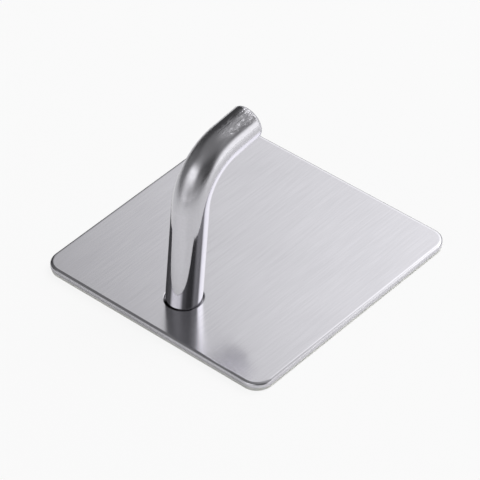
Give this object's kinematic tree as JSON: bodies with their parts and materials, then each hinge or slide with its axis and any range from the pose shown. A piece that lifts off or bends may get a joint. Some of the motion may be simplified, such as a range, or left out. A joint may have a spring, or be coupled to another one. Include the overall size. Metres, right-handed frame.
{
  "type": "adhesive hook",
  "caption": "Self-adhesive wall hook: a square brushed steel plate with rounded corners and one polished round rod bent up into a short arm.",
  "frame": {"origin": "centre of the liner's outer face, which is the face that goes on the wall", "axes": "+Z out of the wall, +Y up the wall and the way the arm bends, +X across the plate"},
  "size_m": [0.06, 0.06, 0.0388],
  "materials": {
    "brushed_plate": "brushed along the height",
    "polished_rod": "mirror polished stainless steel",
    "foam_tape": "matt white closed-cell foam",
    "liner_film": "smooth film, slightly glossy"
  },
  "bodies": {
    "root": {"base_plate": "brushed_plate", "hook_rod": "polished_rod", "adhesive_pad": "foam_tape", "release_liner": "liner_film"}
  },
  "joints": []
}
